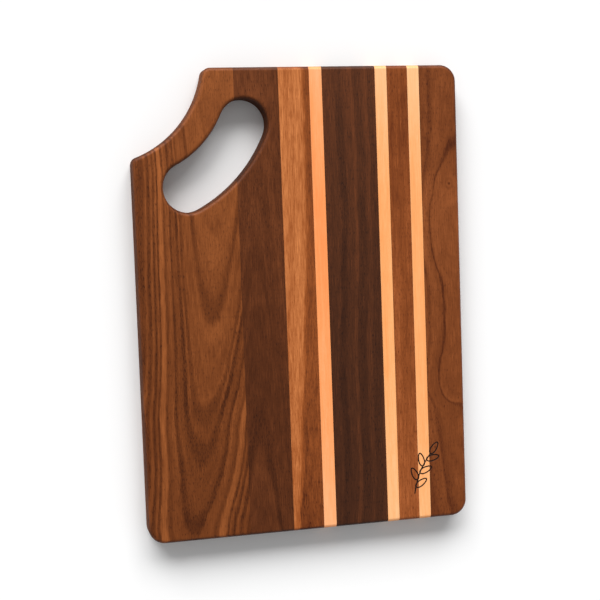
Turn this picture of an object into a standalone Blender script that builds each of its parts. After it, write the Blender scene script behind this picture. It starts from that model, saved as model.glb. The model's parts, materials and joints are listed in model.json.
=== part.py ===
"""Edge-glued cutting board: nine hardwood sticks glued side by side, then cut to one outline
with a scooped corner and a curved hand hole, and rounded over on every outer edge.

The board lies on its underside. X runs across the sticks, Y runs along the grain towards the
handle, and Z is up, out of the cutting face. The origin is the centre of the underside.
All lengths are in metres.
"""

import math

import bmesh
import bpy
from mathutils import Vector

# Driving dimensions of the finished board.
WIDTH = 0.254
LENGTH = 0.3556
THICKNESS = 0.019
EDGE_ROUND = 0.003
CORNER_RADIUS = 0.0127

# The scooped corner, an arc about a point outside the top left corner.
SCOOP_RADIUS = 0.0803
SCOOP_CENTRE_FROM_CORNER = Vector((-0.0238, 0.0106))
SCOOP_TIP_RADIUS = 0.006

# The hand hole is a slot bent along an arc, roughly parallel to the scoop.
SLOT_CENTRE_FROM_CORNER = Vector((-0.002, -0.0035))
SLOT_MID_RADIUS = 0.095
SLOT_HALF_WIDTH = 0.0187
SLOT_END_ANGLES = (-63.2, -24.0)

# Joints. The glue film sits in the middle of the gap between two sticks.
JOINT_GAP = 0.0003
GLUE_THICKNESS = 0.0001

# Facets: arc steps per full turn for each kind of arc, and steps in one quarter of a roundover.
CORNER_STEPS = 56
SCOOP_STEPS = 132
TIP_STEPS = 40
SLOT_SIDE_STEPS = 150
SLOT_END_STEPS = 48
ROUND_STEPS = 4

# How far the rough sticks and the slot cutter reach past the finished faces.
OVERSIZE = 0.006

# Edges between facets that meet more gently than this are shaded smooth.
SMOOTH_ANGLE = math.radians(30)

LEFT, RIGHT = -WIDTH / 2, WIDTH / 2
FRONT, BACK = -LENGTH / 2, LENGTH / 2

# Wood of each stick: colour, roughness.
WOODS = {
    "walnut_wide": ((0.169, 0.047, 0.013), 0.45),
    "walnut_chocolate": ((0.101, 0.030, 0.010), 0.45),
    "walnut_light": ((0.369, 0.107, 0.029), 0.45),
    "maple_warm": ((0.900, 0.383, 0.141), 0.40),
    "walnut_black": ((0.079, 0.029, 0.013), 0.45),
    "maple_pale": ((0.900, 0.450, 0.180), 0.40),
    "walnut_red": ((0.267, 0.071, 0.019), 0.45),
    "walnut_brown": ((0.203, 0.057, 0.016), 0.45),
    "wood_glue": ((0.420, 0.300, 0.160), 0.50),
}

# The sticks from left to right: node name, width at the glue lines' centres, wood.
STICKS = (
    ("stick_1_wide_walnut", 0.0780, "walnut_wide"),
    ("stick_2_chocolate_walnut", 0.0340, "walnut_chocolate"),
    ("stick_3_light_walnut", 0.0240, "walnut_light"),
    ("stick_4_warm_maple", 0.0100, "maple_warm"),
    ("stick_5_black_walnut", 0.0420, "walnut_black"),
    ("stick_6_pale_maple", 0.0095, "maple_pale"),
    ("stick_7_red_walnut", 0.0165, "walnut_red"),
    ("stick_8_pale_maple", 0.0095, "maple_pale"),
    ("stick_9_brown_walnut", 0.0305, "walnut_brown"),
)


def clear_scene():
    for old in list(bpy.data.objects):
        bpy.data.objects.remove(old)


def material(name):
    """The Principled material of one wood, made the first time that it is asked for."""
    found = bpy.data.materials.get(name)
    if found:
        return found
    colour, roughness = WOODS[name]
    made = bpy.data.materials.new(name)
    made.use_nodes = True
    surface = made.node_tree.nodes["Principled BSDF"]
    surface.inputs["Base Color"].default_value = (*colour, 1.0)
    surface.inputs["Roughness"].default_value = roughness
    surface.inputs["Metallic"].default_value = 0.0
    return made


def arc(centre, radius, start, end, steps_per_turn, inward=False):
    """(point, outward normal) pairs along an arc, its angles in radians. The normal points away
    from the centre, or towards it where inward is set, as on the concave side of a shape."""
    steps = max(2, math.ceil(abs(end - start) / (2 * math.pi) * steps_per_turn))
    found = []
    for i in range(steps + 1):
        angle = start + (end - start) * i / steps
        away = Vector((math.cos(angle), math.sin(angle)))
        found.append((centre + away * radius, -away if inward else away))
    return found


def angle_of(vector):
    return math.atan2(vector.y, vector.x)


def board_outline():
    """The outline seen from above, anticlockwise from the front left corner."""
    r = CORNER_RADIUS
    quarter = math.pi / 2
    outline = arc(Vector((LEFT + r, FRONT + r)), r, -2 * quarter, -quarter, CORNER_STEPS)
    outline += arc(Vector((RIGHT - r, FRONT + r)), r, -quarter, 0.0, CORNER_STEPS)
    outline += arc(Vector((RIGHT - r, BACK - r)), r, 0.0, quarter, CORNER_STEPS)

    # Each tip is an arc that touches a straight edge on one side and the scoop on the other.
    scoop = Vector((LEFT, BACK)) + SCOOP_CENTRE_FROM_CORNER
    tip = SCOOP_TIP_RADIUS
    reach = SCOOP_RADIUS + tip
    top = Vector((0.0, BACK - tip))
    top.x = scoop.x + math.sqrt(reach**2 - (top.y - scoop.y) ** 2)
    side = Vector((LEFT + tip, 0.0))
    side.y = scoop.y - math.sqrt(reach**2 - (side.x - scoop.x) ** 2)
    top_end, side_end = angle_of(top - scoop), angle_of(side - scoop)
    outline += arc(top, tip, quarter, top_end + math.pi, TIP_STEPS)
    outline += arc(scoop, SCOOP_RADIUS, top_end, side_end, SCOOP_STEPS, inward=True)[1:-1]
    outline += arc(side, tip, side_end + math.pi, math.pi, TIP_STEPS)
    return outline


def slot_outline():
    """The hand hole's outline at its waist, anticlockwise. Its normals point out of the hole."""
    centre = Vector((LEFT, BACK)) + SLOT_CENTRE_FROM_CORNER
    start, end = (math.radians(a) for a in SLOT_END_ANGLES)
    half, mid = SLOT_HALF_WIDTH, SLOT_MID_RADIUS

    def end_centre(angle):
        return centre + Vector((math.cos(angle), math.sin(angle))) * mid

    outline = arc(centre, mid + half, start, end, SLOT_SIDE_STEPS)
    outline += arc(end_centre(end), half, end, end + math.pi, SLOT_END_STEPS)[1:-1]
    outline += arc(centre, mid - half, end, start, SLOT_SIDE_STEPS, inward=True)
    outline += arc(end_centre(start), half, start + math.pi, start + 2 * math.pi, SLOT_END_STEPS)[1:-1]
    return outline


def roundover_levels():
    """(height, distance that the edge has drawn back) up one wall, rounded at both faces."""
    levels = []
    for i in range(ROUND_STEPS + 1):
        angle = math.pi / 2 * i / ROUND_STEPS
        levels.append((EDGE_ROUND * (1 - math.cos(angle)), EDGE_ROUND * (1 - math.sin(angle))))
    return levels + [(THICKNESS - height, back) for height, back in reversed(levels)]


def stacked_solid(name, outline, levels):
    """A closed solid made of one loop of the outline per level, offset inwards by that level's
    distance, with a flat cap at each end."""
    shape = bmesh.new()
    rings = []
    for height, inset in levels:
        ring = []
        for point, normal in outline:
            spot = point - normal * inset
            ring.append(shape.verts.new((spot.x, spot.y, height)))
        rings.append(ring)
    count = len(outline)
    for low, high in zip(rings, rings[1:]):
        for i in range(count):
            j = (i + 1) % count
            shape.faces.new((low[i], low[j], high[j], high[i]))
    shape.faces.new(reversed(rings[0]))
    shape.faces.new(rings[-1])
    mesh = bpy.data.meshes.new(name)
    shape.to_mesh(mesh)
    shape.free()
    mesh.shade_smooth()
    mesh.set_sharp_from_angle(angle=SMOOTH_ANGLE)
    return mesh


def guide(name, mesh):
    """A helper that shapes the sticks and isn't part of the board."""
    made = bpy.data.objects.new(name, mesh)
    made.hide_render = True
    made.display_type = "WIRE"
    bpy.context.scene.collection.objects.link(made)
    return made


def make_guides():
    """The finished board's outer shape, and the cutter for the hand hole with flared mouths."""
    blank = guide("board_shape", stacked_solid("board_shape", board_outline(), roundover_levels()))
    walls = roundover_levels()
    mouth = walls[0][1]
    flared = [(height, -back) for height, back in walls]
    levels = [(-OVERSIZE, -mouth)] + flared + [(THICKNESS + OVERSIZE, -mouth)]
    cutter = guide("hand_hole_cutter", stacked_solid("hand_hole_cutter", slot_outline(), levels))
    return blank, cutter


def box_mesh(name, low, high):
    """A box between two corners."""
    shape = bmesh.new()
    bmesh.ops.create_cube(shape, size=1.0)
    size, middle = high - low, (high + low) / 2
    bmesh.ops.scale(shape, vec=size, verts=shape.verts)
    bmesh.ops.translate(shape, vec=middle, verts=shape.verts)
    mesh = bpy.data.meshes.new(name)
    shape.to_mesh(mesh)
    shape.free()
    return mesh


def boolean(target, name, operation, other):
    cut = target.modifiers.new(name, "BOOLEAN")
    cut.operation = operation
    cut.solver = "EXACT"
    cut.object = other


def rough_piece(name, low_x, high_x, wood, blank, cutter=None, low_y=None, high_y=None):
    """An oversize length of stock between two X planes, trimmed to the board's shape. Its origin
    is the middle of its own underside."""
    low_y = FRONT - OVERSIZE if low_y is None else low_y
    high_y = BACK + OVERSIZE if high_y is None else high_y
    origin = Vector(((low_x + high_x) / 2, 0.0, 0.0))
    low = Vector((low_x, low_y, -OVERSIZE)) - origin
    high = Vector((high_x, high_y, THICKNESS + OVERSIZE)) - origin
    mesh = box_mesh(name, low, high)
    mesh.materials.append(material(wood))
    piece = bpy.data.objects.new(name, mesh)
    piece.location = origin
    bpy.context.scene.collection.objects.link(piece)
    boolean(piece, "outer_shape", "INTERSECT", blank)
    if cutter:
        boolean(piece, "hand_hole", "DIFFERENCE", cutter)
    return piece


def slot_reach(cutter):
    """The lowest and highest X of the hand hole with its flared mouths."""
    across = [corner.co.x for corner in cutter.data.vertices]
    return min(across), max(across)


def glue_lines():
    """The X of every glue line's centre, from left to right."""
    found, edge = [], LEFT
    for _, width, _ in STICKS[:-1]:
        edge += width
        found.append(edge)
    return found


def make_sticks(blank, cutter):
    """The nine sticks. The first and last are oversize on their outer side too."""
    lines = glue_lines()
    slot_low, slot_high = slot_reach(cutter)
    lows = [LEFT - OVERSIZE] + [x + JOINT_GAP / 2 for x in lines]
    highs = [x - JOINT_GAP / 2 for x in lines] + [RIGHT + OVERSIZE]
    for (name, _, wood), low_x, high_x in zip(STICKS, lows, highs):
        holed = low_x < slot_high and high_x > slot_low
        rough_piece(name, low_x, high_x, wood, blank, cutter if holed else None)


def make_glue_films(blank, cutter):
    """A cured glue film in each joint. The hand hole parts the film that it crosses in two."""
    slot_low, slot_high = slot_reach(cutter)
    slot_mid_y = BACK + SLOT_CENTRE_FROM_CORNER.y + SLOT_MID_RADIUS * math.sin(
        math.radians(sum(SLOT_END_ANGLES) / 2)
    )
    for number, x in enumerate(glue_lines(), start=1):
        low_x, high_x = x - GLUE_THICKNESS / 2, x + GLUE_THICKNESS / 2
        name = f"glue_film_{number}"
        if slot_low < x < slot_high:
            rough_piece(name + "_front", low_x, high_x, "wood_glue", blank, cutter, high_y=slot_mid_y)
            rough_piece(name + "_handle", low_x, high_x, "wood_glue", blank, cutter, low_y=slot_mid_y)
        else:
            rough_piece(name, low_x, high_x, "wood_glue", blank)


def main():
    clear_scene()
    blank, cutter = make_guides()
    make_sticks(blank, cutter)
    make_glue_films(blank, cutter)


main()
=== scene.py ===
"""The looks of an edge-glued, striped cutting board with a scooped corner and a curved hand hole.

Each stick of wood and each line of glue is remade as a finely rounded piece that fills its own
stretch of the CAD board. A stick gets a solid wood shader: growth rings about a heart line, with
fibres and pores that run through the whole stick, so that its faces, ends and cut walls agree. A
small leaf sprig is engraved near the front right corner. Lengths are in metres, and inside the
wood shader in millimetres.
"""

import json
import math
from dataclasses import dataclass
from typing import NamedTuple

import bmesh
import bpy
from mathutils import Matrix, Vector


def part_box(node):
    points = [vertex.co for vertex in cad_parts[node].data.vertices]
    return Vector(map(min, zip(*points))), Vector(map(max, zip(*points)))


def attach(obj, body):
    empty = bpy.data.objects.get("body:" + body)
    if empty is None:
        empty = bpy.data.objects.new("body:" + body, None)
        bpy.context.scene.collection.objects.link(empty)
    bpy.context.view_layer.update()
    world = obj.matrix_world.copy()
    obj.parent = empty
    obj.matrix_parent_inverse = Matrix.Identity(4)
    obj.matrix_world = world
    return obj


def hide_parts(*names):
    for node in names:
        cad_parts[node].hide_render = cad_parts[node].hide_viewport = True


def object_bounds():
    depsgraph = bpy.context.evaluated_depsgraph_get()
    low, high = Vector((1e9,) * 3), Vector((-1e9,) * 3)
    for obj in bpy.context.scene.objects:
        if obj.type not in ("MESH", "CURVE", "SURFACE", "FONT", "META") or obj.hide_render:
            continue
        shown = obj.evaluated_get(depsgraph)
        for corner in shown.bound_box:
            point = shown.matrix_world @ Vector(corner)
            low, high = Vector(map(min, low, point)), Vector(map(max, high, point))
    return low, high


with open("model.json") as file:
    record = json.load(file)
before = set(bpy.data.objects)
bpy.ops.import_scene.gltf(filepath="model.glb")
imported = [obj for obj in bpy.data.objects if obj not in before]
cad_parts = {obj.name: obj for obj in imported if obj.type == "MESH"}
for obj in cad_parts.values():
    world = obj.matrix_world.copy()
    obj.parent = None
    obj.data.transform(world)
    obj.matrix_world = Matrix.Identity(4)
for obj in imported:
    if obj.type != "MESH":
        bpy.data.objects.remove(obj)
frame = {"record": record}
CAD_LOW, CAD_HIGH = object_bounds()

LEFT, FRONT, BOTTOM = CAD_LOW
RIGHT, BACK, TOP = CAD_HIGH

# The board's shape, which is the shape of the CAD model.
EDGE_ROUND = 0.003
CORNER_RADIUS = 0.0127
SCOOP_RADIUS = 0.0803
SCOOP_CENTRE = Vector((LEFT - 0.0238, BACK + 0.0106))
SCOOP_TIP_RADIUS = 0.006
SLOT_CENTRE = Vector((LEFT - 0.002, BACK - 0.0035))
SLOT_MID_RADIUS = 0.095
SLOT_HALF_WIDTH = 0.0187
SLOT_END_ANGLES = (-63.2, -24.0)

# Arc steps per full turn, and steps in one quarter of a roundover.
CORNER_STEPS = 128
SCOOP_STEPS = 360
TIP_STEPS = 96
SLOT_SIDE_STEPS = 360
SLOT_END_STEPS = 120
ROUND_STEPS = 9

# How far rough boxes and the hole's cutter reach past the finished faces.
OVERSIZE = 0.006

# Edges between facets that meet more gently than this are shaded smooth.
SMOOTH_ANGLE = math.radians(30)

# Each stick grows by this much towards its glue lines, so that the joints look tight.
JOINT_CLOSING = 0.00009


# ---------------------------------------------------------------- shapes

def arc(centre, radius, start, end, steps_per_turn, inward=False):
    """(point, outward normal) pairs along an arc. Its normals point at the centre if inward."""
    steps = max(2, math.ceil(abs(end - start) / (2 * math.pi) * steps_per_turn))
    found = []
    for i in range(steps + 1):
        angle = start + (end - start) * i / steps
        away = Vector((math.cos(angle), math.sin(angle)))
        found.append((centre + away * radius, -away if inward else away))
    return found


def angle_of(vector):
    return math.atan2(vector.y, vector.x)


def board_outline():
    """The outline seen from above, anticlockwise from the front left corner."""
    r, quarter = CORNER_RADIUS, math.pi / 2
    outline = arc(Vector((LEFT + r, FRONT + r)), r, -2 * quarter, -quarter, CORNER_STEPS)
    outline += arc(Vector((RIGHT - r, FRONT + r)), r, -quarter, 0.0, CORNER_STEPS)
    outline += arc(Vector((RIGHT - r, BACK - r)), r, 0.0, quarter, CORNER_STEPS)
    tip = SCOOP_TIP_RADIUS
    reach = SCOOP_RADIUS + tip
    top = Vector((0.0, BACK - tip))
    top.x = SCOOP_CENTRE.x + math.sqrt(reach**2 - (top.y - SCOOP_CENTRE.y) ** 2)
    side = Vector((LEFT + tip, 0.0))
    side.y = SCOOP_CENTRE.y - math.sqrt(reach**2 - (side.x - SCOOP_CENTRE.x) ** 2)
    top_end, side_end = angle_of(top - SCOOP_CENTRE), angle_of(side - SCOOP_CENTRE)
    outline += arc(top, tip, quarter, top_end + math.pi, TIP_STEPS)
    outline += arc(SCOOP_CENTRE, SCOOP_RADIUS, top_end, side_end, SCOOP_STEPS, inward=True)[1:-1]
    outline += arc(side, tip, side_end + math.pi, math.pi, TIP_STEPS)
    return outline


def slot_outline():
    """The hand hole's outline at its waist. Its normals point out of the hole."""
    start, end = (math.radians(a) for a in SLOT_END_ANGLES)
    half, mid = SLOT_HALF_WIDTH, SLOT_MID_RADIUS

    def end_centre(angle):
        return SLOT_CENTRE + Vector((math.cos(angle), math.sin(angle))) * mid

    outline = arc(SLOT_CENTRE, mid + half, start, end, SLOT_SIDE_STEPS)
    outline += arc(end_centre(end), half, end, end + math.pi, SLOT_END_STEPS)[1:-1]
    outline += arc(SLOT_CENTRE, mid - half, end, start, SLOT_SIDE_STEPS, inward=True)
    outline += arc(end_centre(start), half, start + math.pi, start + 2 * math.pi, SLOT_END_STEPS)[1:-1]
    return outline


def roundover_levels():
    """(height, distance that the edge has drawn back) up one wall, rounded at both faces."""
    levels = []
    for i in range(ROUND_STEPS + 1):
        angle = math.pi / 2 * i / ROUND_STEPS
        levels.append((EDGE_ROUND * (1 - math.cos(angle)), EDGE_ROUND * (1 - math.sin(angle))))
    return levels + [(TOP - height, back) for height, back in reversed(levels)]


def join(shape, low, high):
    """Adds a band of faces between two rings with equally many vertices."""
    for i in range(len(low)):
        j = (i + 1) % len(low)
        shape.faces.new((low[i], low[j], high[j], high[i]))


def solid(name, shape, material=None, rounded=True):
    """An object made of this bmesh, which is freed. A flat-sided one is shaded flat."""
    mesh = bpy.data.meshes.new(name)
    bmesh.ops.recalc_face_normals(shape, faces=shape.faces)
    shape.to_mesh(mesh)
    shape.free()
    if material:
        mesh.materials.append(material)
    if rounded:
        mesh.shade_smooth()
        mesh.set_sharp_from_angle(angle=SMOOTH_ANGLE)
    made = bpy.data.objects.new(name, mesh)
    bpy.context.scene.collection.objects.link(made)
    return made


def stacked(name, outline, levels):
    """A closed solid with one loop of the outline per (height, inset) level, and flat caps."""
    shape = bmesh.new()
    loops = []
    for height, inset in levels:
        spots = [point - normal * inset for point, normal in outline]
        loops.append([shape.verts.new((spot.x, spot.y, height)) for spot in spots])
    for low, high in zip(loops, loops[1:]):
        join(shape, low, high)
    shape.faces.new(reversed(loops[0]))
    shape.faces.new(loops[-1])
    return solid(name, shape)


def hand_hole_cutter():
    """The hand hole as a solid that flares at both faces, where the hole's edges are rounded."""
    walls = roundover_levels()
    mouth = walls[0][1]
    flared = [(height, -back) for height, back in walls]
    levels = [(BOTTOM - OVERSIZE, -mouth)] + flared + [(TOP + OVERSIZE, -mouth)]
    return stacked("hand_hole_cutter", slot_outline(), levels)


# ---------------------------------------------------------------- the engraved sprig

SPRIG_PLACE = Vector((0.0905, -0.1415))
SPRIG_LENGTH = 0.034
SPRIG_LEAN = math.radians(66)
LEAF_LENGTH = 0.0105
LEAF_WIDTH = 0.0046
LEAF_SPREAD = math.radians(44)

# The stem's bow, as a share of its length, and where along it the leaves start.
STEM_BOW = 0.07
LEAF_SHARES = (0.16, 0.33, 0.50, 0.67, 0.84)

# A leaf is widest before its middle: its width's factor at the foot, and what that loses by the tip.
LEAF_FOOT_FACTOR = 1.15
LEAF_FACTOR_LOSS = 0.35

# How far along the stem a second point is taken, to find its direction at a leaf and at its tip.
LEAF_LOOK_AHEAD = 0.02
TIP_LOOK_BACK = 0.04

# The engraved line is a round groove: a tube whose middle lies a little above the face.
STROKE_RADIUS = 0.0006
STROKE_CENTRE_HEIGHT = 0.00024

STROKE_SIDES = 10
STEM_STEPS = 24
LEAF_STEPS = 32


def stem_point(share):
    """A point along the sprig's gently bowed stem, from 0 at its foot to 1 at its tip."""
    along = Vector((math.cos(SPRIG_LEAN), math.sin(SPRIG_LEAN)))
    across = Vector((-along.y, along.x))
    bow = STEM_BOW * math.sin(share * math.pi)
    return SPRIG_PLACE + (along * (share - 0.5) + across * bow) * SPRIG_LENGTH


def leaf_points(foot, angle):
    """A closed loop of points round a leaf that starts at its foot and grows along angle."""
    along = Vector((math.cos(angle), math.sin(angle)))
    across = Vector((-along.y, along.x))
    points = []
    for i in range(LEAF_STEPS):
        turn = 2 * math.pi * i / LEAF_STEPS
        reach = (1 - math.cos(turn)) / 2
        half = LEAF_WIDTH / 2 * math.sin(turn) * (LEAF_FOOT_FACTOR - LEAF_FACTOR_LOSS * reach)
        points.append(foot + along * reach * LEAF_LENGTH + across * half)
    return points


def stroke_ring(shape, point, forward):
    """The vertices of one section of a stroke, which heads forward through point."""
    side = Vector((-forward.y, forward.x))
    ring = []
    for k in range(STROKE_SIDES):
        turn = 2 * math.pi * k / STROKE_SIDES
        spot = point + side * STROKE_RADIUS * math.cos(turn)
        height = TOP + STROKE_CENTRE_HEIGHT + STROKE_RADIUS * math.sin(turn)
        ring.append(shape.verts.new((spot.x, spot.y, height)))
    return ring


def stroke(shape, points, closed):
    """Adds a round tube along points in the cutting face to a bmesh."""
    rings, count = [], len(points)
    for i, point in enumerate(points):
        after = points[(i + 1) % count] if closed or i < count - 1 else point
        before = points[i - 1] if closed or i > 0 else point
        rings.append(stroke_ring(shape, point, (after - before).normalized()))
    for low, high in zip(rings, rings[1:]):
        join(shape, low, high)
    if closed:
        join(shape, rings[-1], rings[0])
    else:
        shape.faces.new(rings[0])
        shape.faces.new(rings[-1])


def stem_cutter(material):
    shape = bmesh.new()
    points = [stem_point(i / STEM_STEPS) for i in range(STEM_STEPS + 1)]
    stroke(shape, points, closed=False)
    return solid("stem_cutter", shape, material)


def leaf_cutter(material):
    """Open leaves that leave the stem on alternate sides, and one at its tip. None meets another."""
    shape = bmesh.new()
    for number, share in enumerate(LEAF_SHARES):
        foot = stem_point(share)
        ahead = angle_of(stem_point(share + LEAF_LOOK_AHEAD) - foot)
        side = LEAF_SPREAD if number % 2 else -LEAF_SPREAD
        stroke(shape, leaf_points(foot, ahead + side), closed=True)
    tip = stem_point(1.0)
    ahead = angle_of(tip - stem_point(1.0 - TIP_LOOK_BACK))
    stroke(shape, leaf_points(tip, ahead), closed=True)
    return solid("leaf_cutter", shape, material)


# ---------------------------------------------------------------- sticks and glue

def boolean(target, operation, other):
    """A Boolean modifier that also brings the other solid's material to the faces that it makes."""
    cut = target.modifiers.new(other.name, "BOOLEAN")
    cut.operation = operation
    cut.solver = "EXACT"
    cut.material_mode = "TRANSFER"
    cut.object = other


def settle(piece):
    """Replaces the piece's mesh with its evaluated one, and drops its modifiers."""
    evaluated = piece.evaluated_get(bpy.context.evaluated_depsgraph_get())
    mesh = bpy.data.meshes.new_from_object(evaluated)
    piece.modifiers.clear()
    piece.data = mesh


def reach_of(tool):
    """The lowest and highest X of a cutter."""
    across = [corner.co.x for corner in tool.data.vertices]
    return min(across), max(across)


def finished_piece(name, nodes, growth, material, blank, cutters):
    """A piece that replaces these CAD nodes, cut from a box by the board's fine shapes.

    The box reaches growth further than the nodes towards a neighbour, and past the board's outer
    sides where there is none.
    """
    boxes = [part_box(node) for node in nodes]
    low_x, high_x = min(box[0].x for box in boxes), max(box[1].x for box in boxes)
    low_x -= growth if low_x - LEFT > growth else OVERSIZE
    high_x += growth if RIGHT - high_x > growth else OVERSIZE
    low = Vector((low_x, FRONT - OVERSIZE, BOTTOM - OVERSIZE))
    high = Vector((high_x, BACK + OVERSIZE, TOP + OVERSIZE))
    shape = bmesh.new()
    bmesh.ops.create_cube(shape, size=1.0)
    bmesh.ops.scale(shape, vec=high - low, verts=shape.verts)
    bmesh.ops.translate(shape, vec=(high + low) / 2, verts=shape.verts)
    piece = solid(name, shape, material, rounded=False)
    boolean(piece, "INTERSECT", blank)
    for cutter in cutters:
        cutter_low, cutter_high = reach_of(cutter)
        if low_x < cutter_high and high_x > cutter_low:
            boolean(piece, "DIFFERENCE", cutter)
    smooth = piece.modifiers.new("face_normals", "WEIGHTED_NORMAL")
    smooth.keep_sharp = True
    settle(piece)
    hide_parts(*nodes)
    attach(piece, "root")
    return piece


# ---------------------------------------------------------------- shaders

INDEX_OF_REFRACTION = 1.45

# A noise texture keeps near the middle of 0 to 1, so it is taken to a wider range about zero.
NOISE_RANGE = 4.0


def srgb(red, green, blue):
    """A linear colour from 0 to 255 display values."""
    found = []
    for value in (red, green, blue):
        share = value / 255
        found.append(share / 12.92 if share <= 0.04045 else ((share + 0.055) / 1.055) ** 2.4)
    return (*found, 1.0)


class Grain(NamedTuple):
    """A noise: its features' size in millimetres along three directions, its detail and roughness."""

    size: tuple
    detail: float = 2.0
    roughness: float = 0.5


class Shader:
    """One material's nodes. Any input is a number, a colour, a vector or another node's output."""

    def __init__(self, name, specular):
        self.material = bpy.data.materials.new(name)
        self.material.use_nodes = True
        self.tree = self.material.node_tree
        self.surface = self.tree.nodes["Principled BSDF"]
        self.surface.inputs["Specular IOR Level"].default_value = specular
        self.surface.inputs["IOR"].default_value = INDEX_OF_REFRACTION

    def bump(self, height, strength, distance):
        """Fine relief in the surface. A height of 1 stands for this distance, in metres."""
        inputs = {"Strength": strength, "Distance": distance, "Height": height}
        self.feed(self.surface.inputs["Normal"], self.node("Bump", inputs).outputs["Normal"])

    def feed(self, socket, value):
        if isinstance(value, bpy.types.NodeSocket):
            self.tree.links.new(value, socket)
        else:
            socket.default_value = value

    def node(self, kind, inputs, **settings):
        made = self.tree.nodes.new("ShaderNode" + kind)
        for key, value in settings.items():
            setattr(made, key, value)
        for key, value in inputs.items():
            self.feed(made.inputs[key], value)
        return made

    def math(self, operation, first, second=0.0, third=0.0):
        return self.node("Math", {0: first, 1: second, 2: third}, operation=operation).outputs[0]

    def add(self, *terms):
        total = terms[0]
        for term in terms[1:]:
            total = self.math("ADD", total, term)
        return total

    def times(self, first, second):
        return self.math("MULTIPLY", first, second)

    def fade(self, value, low, high, to_low=0.0, to_high=1.0):
        """value taken smoothly from the range low..high to the range to_low..to_high."""
        inputs = {"Value": value, "From Min": low, "From Max": high, "To Min": to_low, "To Max": to_high}
        made = self.node("MapRange", inputs, interpolation_type="SMOOTHSTEP")
        return made.outputs["Result"]

    def noise(self, spot, grain):
        """Noise about zero, mostly between -1 and 1, at a spot of three numbers in millimetres."""
        scaled = {i: self.times(value, 1 / grain.size[i]) for i, value in enumerate(spot)}
        point = self.node("CombineXYZ", scaled).outputs[0]
        inputs = {"Vector": point, "Scale": 1.0, "Detail": grain.detail, "Roughness": grain.roughness}
        share = self.node("TexNoise", inputs).outputs[0]
        return self.math("MULTIPLY_ADD", share, NOISE_RANGE, -NOISE_RANGE / 2)

    def curve(self, value, points):
        """A smooth curve through (value, result) pairs. It stays level beyond the outer pairs."""
        if len(points) == 1:
            return points[0][1]
        places = [place for place, _ in points]
        results = [result for _, result in points]
        start, width = min(places), max(places) - min(places)
        floor, rise = min(results), (max(results) - min(results)) or 1.0
        scaling = {0: value, 1: 1 / width, 2: -start / width}
        share = self.node("Math", scaling, operation="MULTIPLY_ADD", use_clamp=True).outputs[0]
        made = self.node("FloatCurve", {"Value": share})
        shape = made.mapping.curves[0].points
        for _ in points[2:]:
            shape.new(0.5, 0.5)
        for spot, (place, result) in zip(shape, sorted(points)):
            spot.location = ((place - start) / width, (result - floor) / rise)
            spot.handle_type = "AUTO_CLAMPED"
        made.mapping.update()
        return self.math("MULTIPLY_ADD", made.outputs[0], rise, floor)

    def ramp(self, value, stops):
        """A colour between (place, colour) stops. It stays the same beyond the outer stops."""
        made = self.node("ValToRGB", {"Fac": value})
        points = made.color_ramp.elements
        for _ in stops[2:]:
            points.new(0.5)
        for point, (place, colour) in zip(points, stops):
            point.position = place
            point.color = colour
        return made.outputs["Color"]


# ---------------------------------------------------------------- wood

@dataclass
class Wood:
    """How one stick grew, in millimetres in the board's frame.

    heart gives (y, x) and depth gives (y, distance under the cutting face) pairs for the middle of
    the tree. rings gives (distance from the heart, tone) and tones gives (y, tone) pairs. A tone of
    0 leaves the wood plain, and a lower one is darker. swell and feather are how far noises move
    the rings, patchy is the share of a ring that can fade, and bands, streaks, fibres, pores and
    mottle are how much each changes the tone. knot is a pin knot's x, y and size.
    """

    dark: tuple
    middle: tuple
    light: tuple
    heart: tuple
    depth: tuple
    rings: tuple
    tones: tuple
    swell: float = 0.8
    feather: float = 0.3
    patchy: float = 0.5
    bands: float = 0.12
    streaks: float = 0.16
    streak_width: float = 1.1
    fibres: float = 0.14
    pores: float = 0.25
    mottle: float = 0.05
    knot: tuple = ()
    seed: float = 0.0
    roughness: float = 0.45


MM_PER_METRE = 1000.0
SEED_STEP_MM = 997.0

# Noises in the board's frame. The sizes are across the grain, along it and up.
SWELL = Grain((16, 42, 16))
FEATHER = Grain((0.9, 11, 0.9), 2.0, 0.6)
FIBRES = Grain((0.5, 14, 0.5), 3.0, 0.6)
PORES = Grain((0.34, 3.2, 0.34), 1.0)
MOTTLE = Grain((7, 13, 7), 3.0, 0.6)

# Noises that follow the rings. The sizes are outwards from the heart, which STREAKS counts in the
# stick's own streak widths, along the grain and up. PRESENCE and BANDS take the seed instead of up.
PRESENCE = Grain((7, 35, 1), 1.0)
BANDS = Grain((5.5, 160, 1))
STREAKS = Grain((1, 75, 30), 3.0, 0.65)

# The range of each noise over which a ring fades in along the grain, and a pore opens.
PRESENCE_FADE = (-0.9, 0.5)
PORE_FADE = (0.35, 0.9)

# Dark growth lines are richer in pores, and so, a little, are light bands.
PORES_BY_RING = -0.9
PORES_BY_BAND = 0.2

# How much of a swell across the stick also goes up and down.
SWELL_UPWARDS = 0.5

# How far a surface has turned, as a part of its normal, where it starts and ends to be end grain,
# a dull wall or a wall darkened with painted shade.
END_FADE = (0.2, 0.85)
DULL_FADE = (0.5, 0.1)
PAINTED_SHADE_FADE = (0.2, 0.95)

MIDDLE_TONE = 0.5
END_TONE = -0.25
# Painted shade: the share of its colour that an upright wall keeps. Roundovers fade to it from the cutting
# face.
PAINTED_WALL_SHADE = 0.62
WALL_DULLNESS = 0.4
PORE_DULLNESS = 0.15
FIBRE_DULLNESS = 0.03
WOOD_SPECULAR = 0.18

# The relief of the oiled surface, as shares of RELIEF_DEPTH.
FIBRE_HEIGHT = 0.15
PORE_HEIGHT = -0.6
RELIEF_DEPTH = 0.00008
RELIEF_STRENGTH = 0.6

# Tones of a pin knot: a dark core inside a faint ring, in knot sizes from its middle. It is longer
# along the grain.
KNOT_TONES = ((0, -0.7), (1, -0.35), (2, 0.0), (4, -0.12), (6, 0.0))
KNOT_SQUEEZE = 0.75


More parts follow.
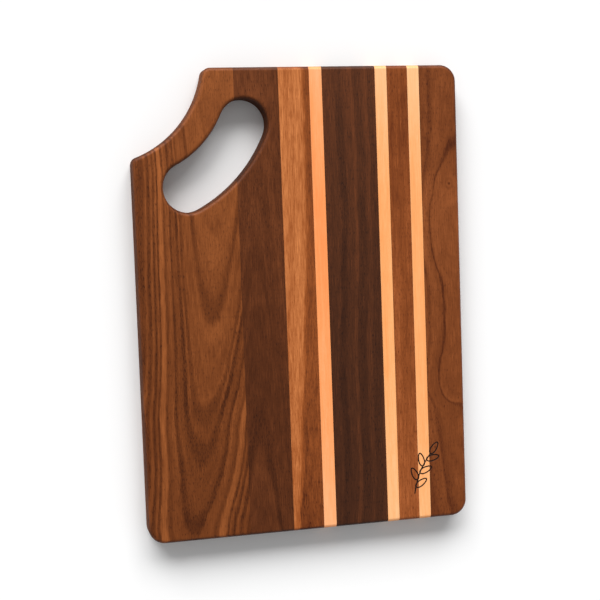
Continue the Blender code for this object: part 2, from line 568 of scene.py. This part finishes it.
def distance(s, first, second):
    """The length of a line that goes this far in two square directions."""
    return s.math("SQRT", s.add(s.times(first, first), s.times(second, second)))


def seeded(s, wood, spot):
    """The spot, moved along the grain by this stick's seed."""
    x, y, z = spot
    return x, s.add(y, wood.seed * SEED_STEP_MM), z


def heart_distance(s, wood, spot):
    """Distance from the heart line, with slow swells, and feathered along the fibres."""
    x, y, z = spot
    grain_spot = seeded(s, wood, spot)
    swell = s.times(s.noise(grain_spot, SWELL), wood.swell)
    across = s.math("SUBTRACT", s.add(x, swell), s.curve(y, wood.heart))
    below_face = s.curve(y, wood.depth)
    above = s.add(z, -TOP * MM_PER_METRE, below_face, s.times(swell, SWELL_UPWARDS))
    feather = s.times(s.noise(grain_spot, FEATHER), wood.feather)
    return s.add(distance(s, across, above), feather)


def knot_tone(s, spot, knot):
    """The tone that a pin knot adds. It runs straight up through the stick."""
    knot_x, knot_y, size = knot
    across = s.add(spot[0], -knot_x)
    along = s.times(s.add(spot[1], -knot_y), KNOT_SQUEEZE)
    tones = [(place * size, tone) for place, tone in KNOT_TONES]
    return s.curve(distance(s, across, along), tones)


def wood_shader(name, wood):
    """A solid wood: growth rings about the heart line, streaks along them, fibres and pores."""
    s = Shader(name, WOOD_SPECULAR)
    place = s.node("TexCoord", {}).outputs["Object"]
    parts = s.node("SeparateXYZ", {0: place}).outputs
    spot = tuple(s.times(part, MM_PER_METRE) for part in parts)
    grain_spot = seeded(s, wood, spot)

    # Each ring comes and goes along the grain. Broad bands and finer streaks follow the rings.
    radius = heart_distance(s, wood, spot)
    ring_spot = (radius, grain_spot[1], wood.seed)
    presence = s.fade(s.noise(ring_spot, PRESENCE), *PRESENCE_FADE, 1.0 - wood.patchy, 1.0)
    rings = s.times(s.curve(radius, wood.rings), presence)
    bands = s.noise(ring_spot, BANDS)
    streaks = s.noise((s.times(radius, 1 / wood.streak_width), *grain_spot[1:]), STREAKS)

    # Pores show as short dashes on the faces and as dots on the ends.
    fibres = s.noise(grain_spot, FIBRES)
    pore_noise = s.noise(grain_spot, PORES)
    richness = (s.times(bands, PORES_BY_BAND), s.times(rings, PORES_BY_RING))
    pores = s.fade(s.add(pore_noise, *richness), *PORE_FADE)

    tone = s.add(
        MIDDLE_TONE,
        rings,
        s.curve(spot[1], wood.tones),
        s.times(bands, wood.bands),
        s.times(streaks, wood.streaks),
        s.times(fibres, wood.fibres),
        s.times(s.noise(grain_spot, MOTTLE), wood.mottle),
        s.times(pores, -wood.pores),
    )
    if wood.knot:
        tone = s.add(tone, knot_tone(s, spot, wood.knot))
    finish_wood(s, wood, tone, fibres, pores)
    return s.material


def finish_wood(s, wood, tone, fibres, pores):
    """Colour, gloss and relief, with painted shade that darkens walls and roundovers. Walls are only
    sanded, and end grain soaks up more of the oil.
    """
    normal = s.node("NewGeometry", {}).outputs["Normal"]
    facing = s.node("SeparateXYZ", {0: normal}).outputs
    along, upright = s.math("ABSOLUTE", facing[1]), s.math("ABSOLUTE", facing[2])
    tone = s.add(tone, s.times(s.fade(along, *END_FADE), END_TONE))
    stops = [(0.0, srgb(*wood.dark)), (MIDDLE_TONE, srgb(*wood.middle)), (1.0, srgb(*wood.light))]
    # Painted shade: walls and roundovers are darkened the further they turn from the cutting face.
    painted_shade = s.fade(upright, *PAINTED_SHADE_FADE, PAINTED_WALL_SHADE, 1.0)
    painted_shade_inputs = {0: s.ramp(tone, stops), "Scale": painted_shade}
    colour = s.node("VectorMath", painted_shade_inputs, operation="SCALE").outputs[0]
    s.feed(s.surface.inputs["Base Color"], colour)

    dullness = s.times(s.fade(upright, *DULL_FADE), WALL_DULLNESS)
    rough = s.add(wood.roughness, s.times(fibres, FIBRE_DULLNESS), s.times(pores, PORE_DULLNESS), dullness)
    s.feed(s.surface.inputs["Roughness"], rough)
    s.bump(s.add(s.times(fibres, FIBRE_HEIGHT), s.times(pores, PORE_HEIGHT)), RELIEF_STRENGTH, RELIEF_DEPTH)


# Charred lines and cured glue: the size of their grain in features per metre, and their colours.
CHAR_GRAIN = 2500.0
CHAR_STOPS = [(0.3, srgb(22, 11, 7)), (0.8, srgb(48, 25, 15))]
CHAR_DEPTH = 0.0001
GLUE_GRAIN = 900.0
GLUE_STOPS = [(0.3, srgb(56, 29, 14)), (0.7, srgb(80, 44, 23))]
FILLER_SPECULAR = 0.2


def speckled(name, scale, detail, stops, smoothest, rise):
    """A shader whose colour and roughness follow one fine noise, and that noise."""
    s = Shader(name, FILLER_SPECULAR)
    place = s.node("TexCoord", {}).outputs["Object"]
    grain = s.node("TexNoise", {"Vector": place, "Scale": scale, "Detail": detail}).outputs[0]
    s.feed(s.surface.inputs["Base Color"], s.ramp(grain, stops))
    s.feed(s.surface.inputs["Roughness"], s.add(smoothest, s.times(grain, rise)))
    return s, grain


def burned_shader():
    """Charred walls and floor of the engraved lines."""
    s, grain = speckled("burned_line", CHAR_GRAIN, 3.0, CHAR_STOPS, smoothest=0.6, rise=0.25)
    s.bump(grain, 0.4, CHAR_DEPTH)
    return s.material


def glue_shader():
    """Cured glue, darkened by the oil."""
    s, _ = speckled("cured_glue", GLUE_GRAIN, 2.0, GLUE_STOPS, smoothest=0.5, rise=0.2)
    return s.material


# A heart line of even depth, in millimetres under the cutting face, and wood without marked rings.
STRAIGHT = ((0, 45),)
NO_RINGS = ((0, 0.0),)

WOODS = {
    "stick_1_wide_walnut": Wood(
        (62, 26, 6), (112, 58, 24), (168, 96, 48),
        heart=((98, -65), (28, -70), (-4, -72), (-52, -77), (-90, -82.5), (-113, -84), (-167, -93)),
        depth=((178, 29.3), (-178, 49.8)),
        rings=((30, 0.0), (38.2, 0.08), (39.8, -0.14), (40.7, 0.08), (42.8, 0.06), (43.8, 0.0),
               (44.6, -0.16), (45.1, 0.05), (45.5, 0.02), (46.2, -0.31), (46.8, -0.08), (48.0, -0.03),
               (49.3, -0.28), (49.9, 0.05), (51.5, 0.04), (52.2, -0.16), (53.0, 0.12), (54.3, 0.3),
               (55.3, 0.18), (56.0, -0.24), (56.8, 0.08), (58.3, -0.26), (59.4, 0.08), (60.4, -0.12),
               (61.5, -0.26), (63, 0.04), (65, -0.24), (70, -0.05)),
        tones=((178, 0.18), (100, 0.1), (0, 0.03), (-178, -0.05)),
        swell=0.5, patchy=0.4, bands=0.06, streaks=0.1, fibres=0.16, pores=0.35, seed=0.1),
    "stick_2_chocolate_walnut": Wood(
        (46, 18, 4), (88, 44, 19), (130, 71, 36),
        heart=((178, -34), (-60, -39), (-178, -40)),
        depth=((178, 47), (0, 43), (-92, 40), (-122, 39.2), (-157, 37.8), (-178, 37)),
        rings=((37, 0.04), (39.2, 0.07), (40.0, -0.2), (40.6, -0.1), (42.2, 0.02), (44.0, 0.0),
               (45.5, -0.07), (47, 0.03), (49, -0.06), (52, 0.05)),
        tones=((178, 0.18), (60, 0.05), (-60, -0.02), (-178, -0.06)),
        swell=0.35, feather=0.15, patchy=0.4, bands=0.1, streaks=0.12, streak_width=0.6, fibres=0.24,
        pores=0.35, mottle=0.08, seed=0.2),
    "stick_3_light_walnut": Wood(
        (60, 18, 2), (155, 82, 36), (235, 149, 87),
        heart=((178, 64), (78, 64), (28, 62), (-12, 60), (-52, 58), (-82, 55), (-122, 54), (-162, 50)),
        depth=((0, 20),),
        rings=((55, -0.18), (60, -0.22), (62.6, -0.14), (64.6, 0.08), (68, 0.15), (74, 0.08), (80, 0.14),
               (85, 0.07)),
        tones=((178, 0.04), (0, 0.03), (-100, -0.04), (-178, -0.11)),
        swell=1.1, patchy=0.2, feather=0.8, bands=0.05, streaks=0.08, fibres=0.2, pores=0.14, seed=0.3),
    "stick_4_warm_maple": Wood(
        (243, 134, 68), (250, 159, 97), (253, 183, 132),
        heart=((0, 90),), depth=STRAIGHT, rings=NO_RINGS,
        tones=((178, 0.26), (60, -0.04), (-60, -0.02), (-178, 0.36)),
        bands=0.16, streaks=0.14, fibres=0.16, pores=0.1, seed=0.4, roughness=0.4),
    "stick_5_black_walnut": Wood(
        (36, 17, 9), (72, 38, 20), (114, 61, 32),
        heart=((178, -58), (58, -56), (-60, -60), (-130, -59), (-178, -62)), depth=STRAIGHT,
        rings=((86, 0.04), (92, 0.0), (96, 0.04), (98.5, -0.16), (101.5, -0.11), (103, 0.0), (107, 0.03),
               (108.7, 0.16), (110.2, 0.02), (114, -0.11), (117, 0.02), (119.6, 0.1), (121.5, -0.06),
               (126, 0.0), (129, 0.13), (131, 0.0)),
        tones=((178, 0.2), (60, 0.06), (-60, -0.03), (-178, -0.07)),
        swell=0.8, patchy=0.8, bands=0.04, streaks=0.09, streak_width=0.8, fibres=0.2, pores=0.4,
        mottle=0.04, seed=0.5),
    "stick_6_pale_maple": Wood(
        (244, 150, 80), (251, 175, 112), (254, 196, 144),
        heart=((0, 10),), depth=STRAIGHT, rings=NO_RINGS,
        tones=((178, 0.3), (0, -0.12), (-100, 0.05), (-178, 0.2)),
        bands=0.16, streaks=0.14, fibres=0.16, pores=0.1, seed=0.6, roughness=0.4),
    "stick_7_red_walnut": Wood(
        (92, 40, 12), (137, 71, 31), (182, 102, 54),
        heart=((0, 30),), depth=STRAIGHT, rings=NO_RINGS,
        tones=((178, -0.02), (118, -0.16), (100, -0.05), (-60, 0.02), (-110, 0.12), (-178, 0.2)),
        bands=0.16, streaks=0.18, fibres=0.24, pores=0.5, mottle=0.1, seed=0.7),
    "stick_8_pale_maple": Wood(
        (243, 145, 76), (250, 172, 109), (253, 196, 142),
        heart=((0, 20),), depth=STRAIGHT, rings=NO_RINGS,
        tones=((178, 0.45), (0, -0.1), (-178, 0.15)),
        bands=0.16, streaks=0.14, fibres=0.16, pores=0.1, seed=0.8, roughness=0.4),
    "stick_9_brown_walnut": Wood(
        (76, 32, 10), (121, 63, 28), (164, 92, 48),
        heart=((0, 123),),
        depth=((128, 45.5), (116, 44.8), (103, 43.9), (90, 42.1), (78, 41.2), (58, 39.8), (38, 40.3),
               (23, 41.7), (3, 43.4), (-22, 43.6), (-42, 43.1), (-54, 42.1), (-67, 41.7), (-77, 42.4),
               (-85, 43.9), (-90, 45), (-178, 49)),
        rings=((35, 0.05), (44.5, 0.04), (44.9, -0.34), (45.25, -0.04), (48, 0.03),
               (49.6, -0.2), (50.1, 0.0), (54, -0.12), (60, 0.0)),
        tones=((178, 0.0), (118, -0.06), (70, 0.1), (0, 0.02), (-100, -0.02), (-178, -0.08)),
        knot=(119, 86, 0.7), swell=0.3, feather=0.15, patchy=0.4, bands=0.12, streaks=0.1, fibres=0.2,
        pores=0.45, mottle=0.09, seed=0.9),
}


# ---------------------------------------------------------------- floor, lights and camera

FLOOR_HALF_WIDTH = 6.0
FLOOR_GREY = 0.955
FLOOR_ROUGHNESS = 0.9
FLOOR_SPECULAR = 0.1


def make_floor():
    """A wide pale floor that the board lies on."""
    shape = bmesh.new()
    bmesh.ops.create_grid(shape, x_segments=1, y_segments=1, size=FLOOR_HALF_WIDTH)
    mesh = bpy.data.meshes.new("floor")
    shape.to_mesh(mesh)
    shape.free()
    floor = bpy.data.objects.new("floor", mesh)
    bpy.context.scene.collection.objects.link(floor)
    s = Shader("pale_floor", FLOOR_SPECULAR)
    s.surface.inputs["Base Color"].default_value = (FLOOR_GREY, FLOOR_GREY, FLOOR_GREY, 1.0)
    s.surface.inputs["Roughness"].default_value = FLOOR_ROUGHNESS
    mesh.materials.append(s.material)


# Direction and strength of each sun. Both stand beyond the handle end, one on either side.
SUNS = {"key": (Vector((-0.55, 1.38, 0.85)), 2.57), "fill": (Vector((0.35, 1.45, 0.85)), 1.94)}
SUN_SOFTNESS = math.radians(34)


def make_suns():
    """Two broad soft lights from beyond the handle end, the stronger one on the left."""
    for name, (direction, strength) in SUNS.items():
        light = bpy.data.lights.new(name, "SUN")
        light.energy = strength
        light.angle = SUN_SOFTNESS
        lamp = bpy.data.objects.new(name, light)
        lamp.rotation_euler = direction.to_track_quat("Z", "Y").to_euler()
        bpy.context.scene.collection.objects.link(lamp)


# The studio's grey by height above the horizon, where straight up is 1.
STUDIO_GREYS = ((0.10, 1.0), (0.32, 0.53), (0.70, 0.3))


def make_world():
    """A pale studio: bright round the horizon, dimmer overhead."""
    world = bpy.data.worlds.new("studio")
    world.use_nodes = True
    bpy.context.scene.world = world
    tree = world.node_tree
    place = tree.nodes.new("ShaderNodeTexCoord")
    split = tree.nodes.new("ShaderNodeSeparateXYZ")
    ramp = tree.nodes.new("ShaderNodeValToRGB")
    tree.links.new(place.outputs["Generated"], split.inputs[0])
    tree.links.new(split.outputs["Z"], ramp.inputs["Fac"])
    ramp.color_ramp.elements.new(0.5)
    for point, (height, grey) in zip(ramp.color_ramp.elements, STUDIO_GREYS):
        point.position = height
        point.color = (grey, grey, grey, 1.0)
    background = tree.nodes["Background"]
    tree.links.new(ramp.outputs["Color"], background.inputs["Color"])
    background.inputs["Strength"].default_value = 1.0


# The photo's camera.
CAMERA_PLACE = Vector((-0.2319, 0.0786, 0.9632))
CAMERA_AIM = Vector((-0.0040, 0.0012, TOP))
CAMERA_LENS_MM = 76.54
CAMERA_ROLL = math.radians(2.11)


def make_camera():
    """A camera that looks down on the board from the left, its top turned a little to the right."""
    back = (CAMERA_PLACE - CAMERA_AIM).normalized()
    up = Vector((math.sin(CAMERA_ROLL), math.cos(CAMERA_ROLL), 0.0))
    right = up.cross(back).normalized()
    up = back.cross(right)
    data = bpy.data.cameras.new("camera")
    data.lens = CAMERA_LENS_MM
    camera = bpy.data.objects.new("camera", data)
    turn = Matrix((right, up, back)).transposed().to_4x4()
    camera.matrix_world = Matrix.Translation(CAMERA_PLACE) @ turn
    bpy.context.scene.collection.objects.link(camera)
    bpy.context.scene.camera = camera


# ---------------------------------------------------------------- assembly

def make_board():
    """Every stick and every joint's glue, each in place of its CAD nodes and with its own material."""
    slots = {part["node"]: part["material_slot"] for part in frame["record"]["subparts"]}
    blank = stacked("board_shape", board_outline(), roundover_levels())
    burned = burned_shader()
    cutters = [hand_hole_cutter(), stem_cutter(burned), leaf_cutter(burned)]
    for node, wood in WOODS.items():
        name = node.split("_", 2)[2] + "_" + "_".join(node.split("_")[:2])
        piece = finished_piece(name, [node], JOINT_CLOSING, wood_shader(name, wood), blank, cutters)
    glue = glue_shader()
    for joint in range(1, len(WOODS)):
        nodes = sorted(node for node in slots if node.startswith(f"glue_film_{joint}"))
        piece = finished_piece(f"glue_in_joint_{joint}", nodes, 0.0, glue, blank, cutters)
    for tool in [blank, *cutters]:
        bpy.data.objects.remove(tool)


make_board()
make_floor()
make_suns()
make_world()
make_camera()
bpy.context.scene.view_settings.view_transform = "Standard"
